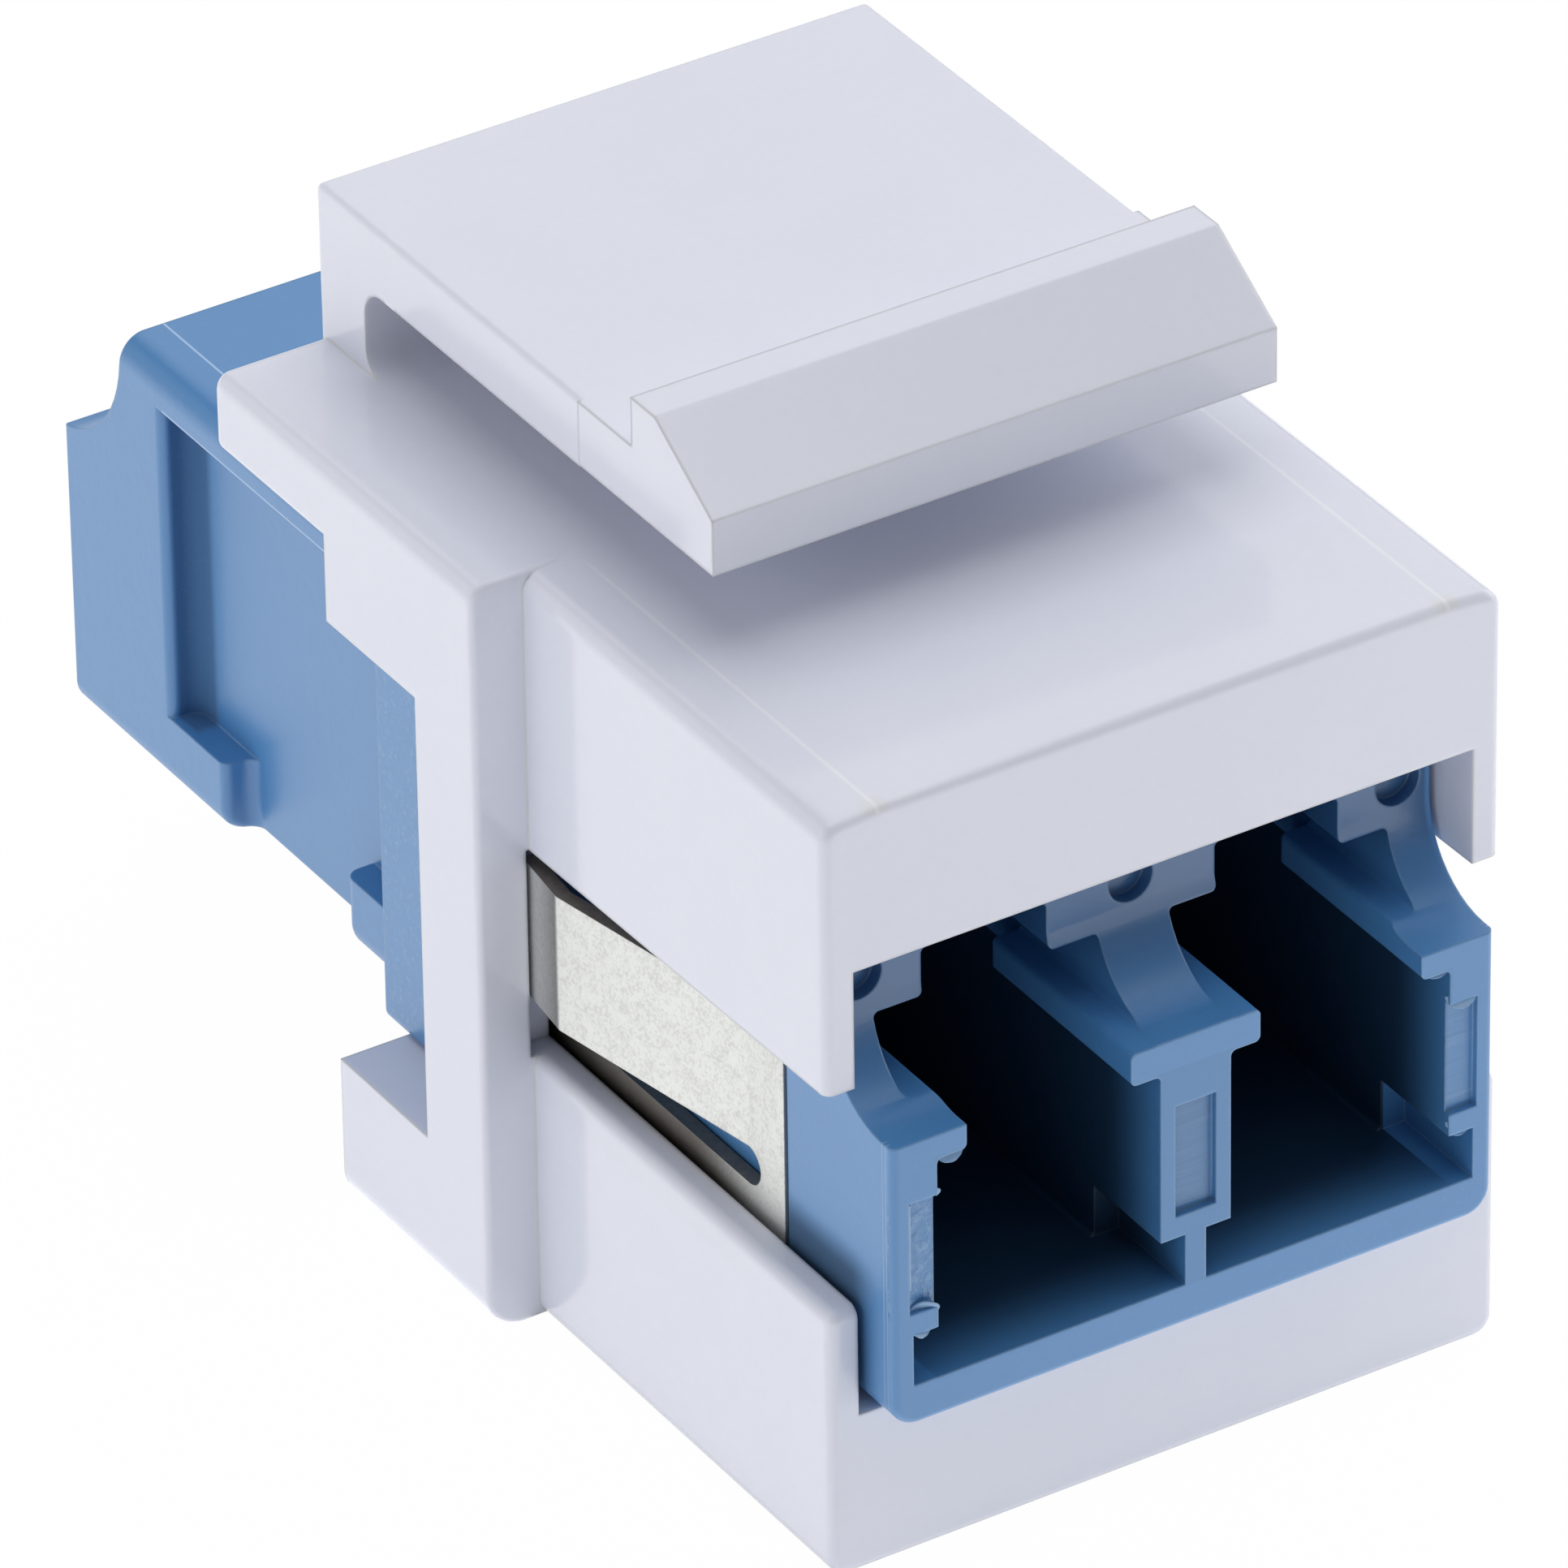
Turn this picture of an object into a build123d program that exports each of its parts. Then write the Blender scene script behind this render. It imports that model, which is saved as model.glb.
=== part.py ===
from build123d import *
import os

os.makedirs("parts", exist_ok=True)

# Millimetres. X runs to the right seen from the front, Y runs to the rear from the face of the
# frame's nose, and Z runs up from the underside. The origin is the middle of the nose's lower
# front edge.

# Ports, two side by side at each end, and the walls round them
port_pitch = 6.25
port_width = 4.75
port_height = 4.70
port_side_wall = 0.95
port_floor_wall = 0.87
rail_height = 0.68
rail_gap = 3.49
shoulder_height = 1.27
slot_width = 2.66
slot_height = 0.98
port_roof_wall = 0.80
catch_depth = 4.56
latch_chamber_length = 4.20
lead_in_width = 5.81
lead_in_height = 1.09
lead_in_depth = 2.20
port_corner = 0.12

# Adapter halves and the plate at the seam between them
front_reach = 13.06
rear_reach = 12.28
half_plate_thickness = 1.85
plate_width = 13.90
plate_height = 9.90
plate_corner = 0.30
adapter_lower_corner = 0.55
front_upper_corner = 0.45
rear_upper_corner = 0.90
front_end_round = 0.16
rear_end_round = 0.08
end_land_height = 6.08
end_land_run = 0.36
cutback_run = 2.12
cutback_sag = 0.56
cutback_sag_run = 1.61
bar_drop = 0.33
middle_land_extra = 0.18
rear_cutback_run = 2.22
rear_cutback_sag = 0.82
rear_cutback_sag_run = 1.46
rear_land_height = 6.28
dimple_radius = 0.47
dimple_rise = 0.84
dimple_depth = 0.30
side_dimple_offset = 5.75
face_recess_depth = 0.15
face_recess_height = 2.40
face_recess_rise = 2.41
middle_recess_width = 0.88
side_recess_width = 0.60
web_thickness = 1.0

# Waist and boss at the sides of the rear half
waist_depth = 0.65
waist_rise = 1.59
waist_upper_land = 0.84
waist_end = 8.60
waist_foot_start = 2.25
waist_foot_end = 6.65
waist_corner = 0.30
boss_corner = 0.30
collar_corner = 0.20

# Split sleeves and their holders
sleeve_outer_radius = 0.81
sleeve_bore_radius = 0.623
sleeve_length = 6.80
sleeve_slit = 0.30
sleeve_side_clearance = 0.04
sleeve_end_clearance = 0.10
holder_wall = 0.40
holder_lip_radius = 0.70
holder_lip_length = 0.60

# Spring clip, one sheet folded over the top of the front half
sheet_thickness = 0.30
sheet_bend = 0.45
clip_clearance = 0.05
clip_setback = 3.61
clip_front_gap = 0.14
clip_end_clearance = 0.15
clip_band_length = 4.00
clip_lower_margin = 1.46
wing_slot = 0.80
wing_root = 1.20
wing_run = 5.05
wing_splay = 0.88
wing_lip_turn = 0.17
wing_end_clearance = 0.15
cutout_margin = 0.95

# Keystone frame
nose_length = 10.05
nose_side_wall = 0.60
nose_corner = 0.38
nose_lower_corner = 0.40
nose_face_round = 0.20
rim_inset = 1.16
rim_drop = 0.06
base_thickness = 3.44
bridge_thickness = 3.26
adapter_clearance = 0.10
side_clearance = 0.15
flange_thickness = 2.05
flange_width = 16.60
flange_upper_corner = 0.35
flange_lower_corner = 0.80
flange_face_round = 0.12
shelf_depth = 3.10
ledge_height = 3.25
block_drop = 3.36
slab_overhang = 3.95
slab_thickness = 1.63
slab_rear_corner = 0.30
slab_lower_edge = 0.20
window_floor = 5.77
window_height = 4.50
window_draft = 0.23
window_edge_round = 0.25
wing_pocket_depth = 0.45
wing_pocket_margin = 0.10
wing_lower_gap = 1.26
wing_upper_gap = 0.34

# Latch over the top of the frame
arm_width = 11.90
arm_thickness = 1.40
arm_gap = 1.82
arm_length = 11.13
arm_edge_round = 0.12
root_thickness = 1.65
root_outer_bend = 0.15
root_upper_bend = 0.60
root_lower_bend = 0.50
root_stub = 0.90
tip_length = 4.53
tip_step = 0.07
tip_side_step = 0.04
nose_tip_height = 1.14
ridge_rise = 1.02
ridge_length = 2.70
ridge_flat = 0.80
ridge_edge_round = 0.25
ridge_foot_round = 0.20
tip_edge_round = 0.12

# Heights worked out from the sizes above
adapter_bottom = base_thickness + adapter_clearance
port_floor = adapter_bottom + port_floor_wall
rail_bottom = port_floor + port_height
rail_top = rail_bottom + rail_height
slot_bottom = rail_top + shoulder_height
slot_top = slot_bottom + slot_height
adapter_top = slot_top + port_roof_wall
port_axis = port_floor + port_height / 2
opening_top = adapter_top + adapter_clearance
frame_height = opening_top + bridge_thickness
plate_bottom = ledge_height
plate_top = plate_bottom + plate_height

# Places along Y
flange_rear = nose_length + flange_thickness
seam = flange_rear + half_plate_thickness
plate_rear = seam + half_plate_thickness
front_end = flange_rear - front_reach
rear_end = plate_rear + rear_reach
shelf_rear = flange_rear + shelf_depth
slab_rear = shelf_rear + slab_overhang
holder_reach = sleeve_length / 2 + sleeve_end_clearance + holder_lip_length

# Widths
adapter_width = port_pitch + port_width + 2 * port_side_wall
opening_width = adapter_width + 2 * side_clearance
nose_width = opening_width + 2 * nose_side_wall
clip_recess_depth = sheet_thickness + clip_clearance

# The clip's wings, from the windows that they catch in
window_top = window_floor + window_height
wing_bottom = window_floor + wing_lower_gap
wing_top = window_top - wing_upper_gap
wing_end = nose_length + wing_pocket_depth - wing_end_clearance
clip_front = front_end + clip_setback
clip_rear = flange_rear - clip_end_clearance


def across(y):
    """Plane square to Y: its own x is X and its own y is Z."""
    return Plane(origin=(0, y, 0), x_dir=(1, 0, 0), z_dir=(0, -1, 0))


def along(x):
    """Plane square to X: its own x is Y and its own y is Z."""
    return Plane(origin=(x, 0, 0), x_dir=(0, 1, 0), z_dir=(1, 0, 0))


def block_section(width, bottom, top, lower_corner, upper_corner):
    """Rectangle centred on X, with its lower and upper corners rounded."""
    with Locations((0, (bottom + top) / 2)):
        outline = Rectangle(width, top - bottom)
    fillet(outline.vertices().group_by(Axis.Z)[0], lower_corner)
    upper = [v for v in outline.vertices() if v.Z > (bottom + top) / 2]
    fillet(upper, upper_corner)


def both_ports(width, bottom, top):
    """One rectangle centred on each port, between two heights."""
    with Locations(*[(side * port_pitch / 2, (bottom + top) / 2) for side in (-1, 1)]):
        Rectangle(width, top - bottom)


def hollow_ports(mouth, inward):
    """Cut both ports of one half, from the mouth towards the seam."""
    chamber_start = mouth + inward * catch_depth
    chamber_end = chamber_start + inward * latch_chamber_length
    web_face = seam - inward * web_thickness
    # Mouth: square for the plug, two rails above it and the slot for the plug's latch
    with BuildSketch(across(mouth)) as mouth_section:
        both_ports(port_width, port_floor, rail_bottom)
        both_ports(rail_gap, rail_bottom, rail_top)
        both_ports(port_width, rail_top, slot_bottom)
        both_ports(slot_width, slot_bottom, slot_top)
        fillet(mouth_section.vertices(), port_corner)
    extrude(mouth_section.sketch, amount=-inward * catch_depth, mode=Mode.SUBTRACT)
    # Chamber behind the rails, where the shoulders of the plug's latch rise
    with BuildSketch(across(chamber_start)) as chamber_section:
        both_ports(port_width, port_floor, slot_bottom)
        both_ports(slot_width, slot_bottom, slot_top)
    extrude(chamber_section.sketch, amount=-inward * latch_chamber_length, mode=Mode.SUBTRACT)
    # Square bore on to the web
    with BuildSketch(across(chamber_end)) as bore_section:
        both_ports(port_width, port_floor, rail_bottom)
    extrude(bore_section.sketch, amount=chamber_end - web_face, mode=Mode.SUBTRACT)
    # Wider lead-in along the floor of the mouth
    with BuildSketch(across(mouth)) as lead_in_section:
        both_ports(lead_in_width, port_floor, port_floor + lead_in_height)
    extrude(lead_in_section.sketch, amount=-inward * lead_in_depth, mode=Mode.SUBTRACT)


def add_sleeve_holders(inward):
    """Tubes on the web that hold one half of each sleeve, with a lip at the free end."""
    bore_radius = sleeve_outer_radius + sleeve_side_clearance
    bore_length = sleeve_length / 2 + sleeve_end_clearance
    places = [(side * port_pitch / 2, port_axis) for side in (-1, 1)]
    for radius, reach, mode in (
        (bore_radius + holder_wall, holder_reach, Mode.ADD),
        (bore_radius, bore_length, Mode.SUBTRACT),
        (holder_lip_radius, holder_reach, Mode.SUBTRACT),
    ):
        with BuildSketch(across(seam)) as rounds:
            with Locations(*places):
                Circle(radius)
        extrude(rounds.sketch, amount=inward * reach, mode=mode)


# Front half of the adapter
with BuildPart() as adapter_front_half:
    with BuildSketch(across(front_end)):
        block_section(adapter_width, adapter_bottom, adapter_top,
                      adapter_lower_corner, front_upper_corner)
    extrude(amount=-front_reach)
    end_outline = adapter_front_half.faces().sort_by(Axis.Y)[0].edges()
    fillet(end_outline, front_end_round)
    with BuildSketch(across(flange_rear)):
        block_section(plate_width, plate_bottom, plate_top, plate_corner, plate_corner)
    extrude(amount=-half_plate_thickness)
    # The upper part of the mouth is cut back in a curve, a little less on the middle wall
    bar_face = front_end + cutback_run
    land = adapter_bottom + end_land_height
    above = adapter_top + 1
    for inner, outer, rise in ((port_pitch / 2, adapter_width, 0),
                               (-port_pitch / 2, port_pitch / 2, middle_land_extra)):
        with BuildSketch(along(inner)):
            with BuildLine():
                start = (front_end - 1, land + rise)
                lip = (front_end + end_land_run, land + rise)
                middle = (front_end + cutback_sag_run, land + rise + cutback_sag)
                top = (bar_face, slot_bottom + bar_drop)
                Line(start, lip)
                ThreePointArc(lip, middle, top)
                Polyline(top, (bar_face, above), (front_end - 1, above), start)
            make_face()
        extrude(amount=outer - inner, mode=Mode.SUBTRACT)
        if rise == 0:
            with BuildSketch(along(-inner)):
                with BuildLine():
                    Line(start, lip)
                    ThreePointArc(lip, middle, top)
                    Polyline(top, (bar_face, above), (front_end - 1, above), start)
                make_face()
            extrude(amount=inner - outer, mode=Mode.SUBTRACT)
    hollow_ports(front_end, 1)
    add_sleeve_holders(1)
    # Round dimples in the bar and the two stubs, and shallow recesses in the wall ends
    with BuildSketch(across(bar_face)):
        with Locations(*[(x, slot_bottom + dimple_rise)
                         for x in (-side_dimple_offset, 0, side_dimple_offset)]):
            Circle(dimple_radius)
    extrude(amount=-dimple_depth, mode=Mode.SUBTRACT)
    with BuildSketch(across(front_end)):
        recess_centre = adapter_bottom + face_recess_rise + face_recess_height / 2
        with Locations((0, recess_centre)):
            Rectangle(middle_recess_width, face_recess_height)
        side_centre = (port_pitch + port_width + side_recess_width) / 2
        with Locations((-side_centre, recess_centre), (side_centre, recess_centre)):
            Rectangle(side_recess_width, face_recess_height)
    extrude(amount=-face_recess_depth, mode=Mode.SUBTRACT)
    # Seat of the spring clip: both sides down to a rail, and a band over the top
    seat_front = clip_front - clip_front_gap
    with BuildSketch(across(seat_front)):
        seat_bottom = adapter_bottom + clip_lower_margin - clip_clearance
        seat_centre = (seat_bottom + adapter_top) / 2
        seat_height = adapter_top - seat_bottom
        for side in (-1, 1):
            with Locations((side * (adapter_width - clip_recess_depth) / 2, seat_centre)):
                Rectangle(clip_recess_depth, seat_height)
    extrude(amount=seat_front - flange_rear, mode=Mode.SUBTRACT)
    with BuildSketch(across(seat_front)):
        with Locations((0, adapter_top - clip_recess_depth / 2)):
            Rectangle(adapter_width, clip_recess_depth)
    extrude(amount=-(clip_front_gap + clip_band_length + clip_clearance), mode=Mode.SUBTRACT)
adapter_front_half.part.label = "adapter_front_half"
export_step(adapter_front_half.part, "parts/adapter_front_half.step")


# Rear half of the adapter
with BuildPart() as adapter_rear_half:
    with BuildSketch(across(plate_rear)):
        block_section(adapter_width, adapter_bottom, adapter_top,
                      adapter_lower_corner, rear_upper_corner)
    extrude(amount=-rear_reach)
    end_outline = adapter_rear_half.faces().sort_by(Axis.Y)[-1].edges()
    fillet(end_outline, rear_end_round)
    # Waist at each side, with its foot narrower and open below
    waist_bottom = adapter_bottom + waist_rise
    for side in (-1, 1):
        with BuildSketch(along(side * adapter_width / 2)):
            with BuildLine():
                Polyline(
                    (plate_rear, waist_bottom),
                    (plate_rear, adapter_top - waist_upper_land),
                    (plate_rear + waist_end, adapter_top - waist_upper_land),
                    (plate_rear + waist_end, waist_bottom),
                    (plate_rear + waist_foot_end, waist_bottom),
                    (plate_rear + waist_foot_end, adapter_bottom - 1),
                    (plate_rear + waist_foot_start, adapter_bottom - 1),
                    (plate_rear + waist_foot_start, waist_bottom),
                    close=True,
                )
            make_face()
        extrude(amount=-side * waist_depth, mode=Mode.SUBTRACT)
    waist_ends = [
        e for e in adapter_rear_half.edges().filter_by(Axis.Z)
        if abs(abs(e.center().X) - (adapter_width / 2 - waist_depth)) < 0.01
        and e.center().Y > plate_rear + waist_foot_start
    ]
    fillet(waist_ends, waist_corner)
    boss_ends = [
        e for e in adapter_rear_half.edges().filter_by(Axis.Z)
        if abs(abs(e.center().X) - adapter_width / 2) < 0.01
        and abs(e.center().Y - plate_rear - waist_foot_start) < 0.01
    ]
    fillet(boss_ends, boss_corner)
    collar_ends = [
        e for e in adapter_rear_half.edges().filter_by(Axis.Z)
        if abs(abs(e.center().X) - adapter_width / 2) < 0.01
        and plate_rear + waist_foot_end - 0.01 < e.center().Y < plate_rear + waist_end + 0.01
    ]
    fillet(collar_ends, collar_corner)
    with BuildSketch(across(seam)):
        block_section(plate_width, plate_bottom, plate_top, plate_corner, plate_corner)
    extrude(amount=-half_plate_thickness)
    # The upper part of the mouth is cut back in a curve
    rear_land = adapter_bottom + rear_land_height
    rear_bar_face = rear_end - rear_cutback_run
    with BuildSketch(along(0)):
        with BuildLine():
            lip = (rear_end, rear_land)
            middle = (rear_end - rear_cutback_sag_run, rear_land + rear_cutback_sag)
            top = (rear_bar_face, adapter_top)
            ThreePointArc(lip, middle, top)
            Polyline(top, (rear_bar_face, adapter_top + 1), (rear_end + 1, adapter_top + 1),
                     (rear_end + 1, rear_land), lip)
        make_face()
    extrude(amount=adapter_width, both=True, mode=Mode.SUBTRACT)
    hollow_ports(rear_end, -1)
    add_sleeve_holders(-1)
adapter_rear_half.part.label = "adapter_rear_half"
export_step(adapter_rear_half.part, "parts/adapter_rear_half.step")


# Split sleeves, one in the middle of each port
def split_sleeve(x):
    """Thin tube along Y with one slit at the top."""
    with BuildPart() as sleeve:
        with BuildSketch(across(seam - sleeve_length / 2)):
            with Locations((x, port_axis)):
                Circle(sleeve_outer_radius)
                Circle(sleeve_bore_radius, mode=Mode.SUBTRACT)
            with Locations((x, port_axis + sleeve_outer_radius)):
                Rectangle(sleeve_slit, 2 * (sleeve_outer_radius - sleeve_bore_radius) + 0.2,
                          mode=Mode.SUBTRACT)
        extrude(amount=-sleeve_length)
    return sleeve


for name, side in (("sleeve_left", -1), ("sleeve_right", 1)):
    sleeve = split_sleeve(side * port_pitch / 2)
    sleeve.part.label = name
    export_step(sleeve.part, "parts/" + name + ".step")


# Spring clip
with BuildPart() as spring_clip:
    clip_bottom = adapter_bottom + clip_lower_margin
    middle_height = (clip_bottom + adapter_top) / 2
    panel_height = adapter_top - clip_bottom
    with BuildSketch(across(clip_front)):
        with Locations((0, middle_height)):
            outside = Rectangle(adapter_width, panel_height)
        fillet(outside.vertices().sort_by(Axis.Z)[-2:], sheet_bend)
        with Locations((0, middle_height - sheet_thickness)):
            Rectangle(adapter_width - 2 * sheet_thickness, panel_height, mode=Mode.SUBTRACT)
    extrude(amount=clip_front - clip_rear)
    # Behind the band the top is open, so that only the side panels go on
    with BuildSketch(Plane.XY.offset(adapter_top)):
        band_end = clip_front + clip_band_length
        with Locations((0, (band_end + clip_rear) / 2)):
            Rectangle(adapter_width, clip_rear - band_end)
    extrude(amount=-sheet_bend, mode=Mode.SUBTRACT)
    # Cut-out in each panel, with a round-ended slot above and below the wing's root
    cut_bottom = wing_bottom - wing_slot
    cut_top = wing_top + wing_slot
    cut_start = clip_front + wing_root
    cut_end = clip_rear - cutout_margin
    with BuildSketch(along(-adapter_width)):
        with Locations(((cut_start + cut_end) / 2, (cut_bottom + cut_top) / 2)):
            Rectangle(cut_end - cut_start, cut_top - cut_bottom)
        with Locations((cut_start, cut_bottom + wing_slot / 2), (cut_start, cut_top - wing_slot / 2)):
            Circle(wing_slot / 2)
    extrude(amount=2 * adapter_width, mode=Mode.SUBTRACT)
    # Wings: splayed out from the root, then turned in to a lip
    with BuildSketch(Plane.XY.offset(wing_bottom)):
        with BuildLine():
            panel_face = adapter_width / 2
            knee = (panel_face + wing_splay, cut_start + wing_run)
            lip_end = (knee[0] - wing_lip_turn, wing_end)
            Polyline(
                (panel_face, cut_start - 0.1),
                (panel_face, cut_start),
                knee,
                lip_end,
                (lip_end[0] - sheet_thickness, lip_end[1]),
                (knee[0] - sheet_thickness, knee[1]),
                (panel_face - sheet_thickness, cut_start),
                (panel_face - sheet_thickness, cut_start - 0.1),
                close=True,
            )
        make_face()
        mirror(about=Plane.YZ)
    extrude(amount=wing_top - wing_bottom)
spring_clip.part.label = "spring_clip"
export_step(spring_clip.part, "parts/spring_clip.step")


# Keystone frame
with BuildPart() as keystone_frame:
    half_flange = flange_width / 2
    slab_bottom = frame_height - slab_thickness
    # Flange, ledge below, block and slab above, as one side profile
    with BuildSketch(along(0)):
        with BuildLine():
            Polyline(
                (nose_length, 0),
                (shelf_rear, 0),
                (shelf_rear, ledge_height),
                (flange_rear, ledge_height),
                (flange_rear, frame_height - block_drop),
                (shelf_rear, frame_height - block_drop),
                (shelf_rear, slab_bottom),
                (slab_rear, slab_bottom),
                (slab_rear, frame_height),
                (nose_length, frame_height),
                close=True,
            )
        make_face()
    extrude(amount=half_flange, both=True)
    upright = keystone_frame.faces().sort_by(Axis.Y)[-1].edges().filter_by(Axis.Z)
    fillet(upright, slab_rear_corner)
    long_edges = keystone_frame.edges().filter_by(Axis.Y)
    fillet(long_edges.group_by(Axis.Z)[-1], flange_upper_corner)
    slab_edges = [
        e for e in keystone_frame.edges()
        if abs(e.center().Z - slab_bottom) < 0.01 and e.center().Y > shelf_rear + 0.01
    ]
    fillet(slab_edges, slab_lower_edge)
    long_edges = keystone_frame.edges().filter_by(Axis.Y)
    fillet(long_edges.group_by(Axis.Z)[0], flange_lower_corner)
    fillet(keystone_frame.faces().sort_by(Axis.Y)[0].edges(), flange_face_round)
    # Nose: flat top between two fine rims, sloping a little outside them
    half_nose = nose_width / 2
    shoulder = frame_height - rim_drop
    with BuildSketch(across(0)):
        with BuildLine():
            Polyline((0, frame_height), (half_nose - rim_inset, frame_height),
                     (half_nose - nose_corner, shoulder))
            RadiusArc((half_nose - nose_corner, shoulder), (half_nose, shoulder - nose_corner),
                      nose_corner)
            Line((half_nose, shoulder - nose_corner), (half_nose, nose_lower_corner))
            RadiusArc((half_nose, nose_lower_corner), (half_nose - nose_lower_corner, 0),
                      nose_lower_corner)
            Line((half_nose - nose_lower_corner, 0), (0, 0))
            mirror(about=Plane.YZ)
        make_face()
    extrude(amount=-(nose_length + flange_face_round))
    fillet(keystone_frame.faces().sort_by(Axis.Y)[0].edges(), nose_face_round)
    # Opening for the adapter, from the nose through the flange
    with BuildSketch(across(0)):
        with Locations((0, (base_thickness + opening_top) / 2)):
            Rectangle(opening_width, opening_top - base_thickness)
    extrude(amount=-flange_rear, mode=Mode.SUBTRACT)
    # Seat of the adapter's plate in the underside of the block
    with BuildSketch(across(flange_rear)):
        seat_top = plate_top + adapter_clearance
        with Locations((0, (ledge_height + seat_top) / 2)):
            Rectangle(plate_width + 2 * adapter_clearance, seat_top - ledge_height)
    extrude(amount=-shelf_depth, mode=Mode.SUBTRACT)
    # Side windows, open to the front
    with BuildSketch(along(-half_nose)):
        with BuildLine():
            Polyline((-1, window_floor), (nose_length, window_floor), (nose_length, window_top),
                     (-1, window_top + window_draft), close=True)
        make_face()
    extrude(amount=nose_width, mode=Mode.SUBTRACT)
    tray_edges = [
        e for e in keystone_frame.edges().filter_by(Axis.Y)
        if abs(abs(e.center().X) - half_nose) < 0.01 and abs(e.center().Z - window_floor) < 0.01
    ]
    fillet(tray_edges, window_edge_round)
    # Pockets in the flange for the ends of the clip's wings
    pocket_width = adapter_width + 2 * (wing_splay - wing_lip_turn + wing_pocket_margin)
    with BuildSketch(across(nose_length)):
        with Locations((0, (window_floor + window_top) / 2)):
            Rectangle(pocket_width, window_height)
    extrude(amount=-wing_pocket_depth, mode=Mode.SUBTRACT)
    # Root of the latch: a wall at the rear of the slab that turns forward into the arm
    arm_bottom = frame_height + arm_gap
    arm_top = arm_bottom + arm_thickness
    root_front = slab_rear - root_thickness
    arm_root = root_front - root_stub
    wall_foot = frame_height - slab_rear_corner - flange_upper_corner
    with BuildSketch(along(0)):
        with BuildLine():
            Line((slab_rear, wall_foot), (slab_rear, arm_top - root_outer_bend))
            RadiusArc((slab_rear, arm_top - root_outer_bend),
                      (slab_rear - root_outer_bend, arm_top), -root_outer_bend)
            Polyline((slab_rear - root_outer_bend, arm_top), (arm_root, arm_top),
                     (arm_root, arm_bottom), (root_front - root_upper_bend, arm_bottom))
            RadiusArc((root_front - root_upper_bend, arm_bottom),
                      (root_front, arm_bottom - root_upper_bend), root_upper_bend)
            Line((root_front, arm_bottom - root_upper_bend),
                 (root_front, frame_height + root_lower_bend))
            RadiusArc((root_front, frame_height + root_lower_bend),
                      (root_front - root_lower_bend, frame_height), root_lower_bend)
            Polyline((root_front - root_lower_bend, frame_height),
                     (root_front - root_lower_bend, wall_foot), (slab_rear, wall_foot))
        make_face()
    extrude(amount=arm_width / 2, both=True)
    stub_edges = [
        e for e in keystone_frame.edges().filter_by(Axis.Y)
        if abs(e.center().Z - arm_top) < 0.01
    ]
    fillet(stub_edges, arm_edge_round)
keystone_frame.part.label = "keystone_frame"
export_step(keystone_frame.part, "parts/keystone_frame.step")


# Latch arm, from the root to the tip with its locking ridge
with BuildPart() as latch_arm:
    arm_tip = arm_root - arm_length
    tip_rear = arm_tip + tip_length
    tip_bottom = arm_bottom + tip_step
    with BuildSketch(along(0)):
        with BuildLine():
            Polyline((tip_rear, arm_bottom), (arm_root, arm_bottom), (arm_root, arm_top),
                     (tip_rear, arm_top), close=True)
        make_face()
    extrude(amount=arm_width / 2, both=True)
    fillet(latch_arm.edges().filter_by(Axis.Y).group_by(Axis.Z)[-1], arm_edge_round)
    with BuildSketch(along(0)) as tip_profile:
        with BuildLine():
            ridge_top = arm_top + ridge_rise
            ridge_rear = arm_tip + ridge_length
            Polyline((arm_tip, tip_bottom), (arm_tip, tip_bottom + nose_tip_height),
                     (ridge_rear - ridge_flat, ridge_top), (ridge_rear, ridge_top),
                     (ridge_rear, arm_top), (tip_rear, arm_top), (tip_rear, tip_bottom),
                     close=True)
        make_face()
        corners = tip_profile.vertices()
        fillet([v for v in corners if v.Z > ridge_top - 0.01 and v.Y < ridge_rear - 0.01],
               ridge_edge_round)
        fillet([v for v in corners if v.Z > ridge_top - 0.01 and v.Y > ridge_rear - 0.01],
               tip_edge_round)
        fillet([v for v in corners if abs(v.Y - ridge_rear) < 0.01 and v.Z < arm_top + 0.01],
               ridge_foot_round)
        fillet([v for v in corners if v.Y < arm_tip + 0.01], tip_edge_round)
    extrude(amount=arm_width / 2 + tip_side_step, both=True)
latch_arm.part.label = "latch_arm"
export_step(latch_arm.part, "parts/latch_arm.step")
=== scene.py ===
# %% [markdown]
# # A keystone fibre coupler
# A white snap-in frame carries a blue two-port fibre adapter, and a bright spring clip holds the
# two together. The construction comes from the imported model, in metres, and stays where it is.
# What is added here is the look: soft moulded edges, plastics with grain and flow marks, rolled
# spring steel, the camera of the photograph and a plain white studio.

import math

import bpy
from mathutils import Matrix, Vector


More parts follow.
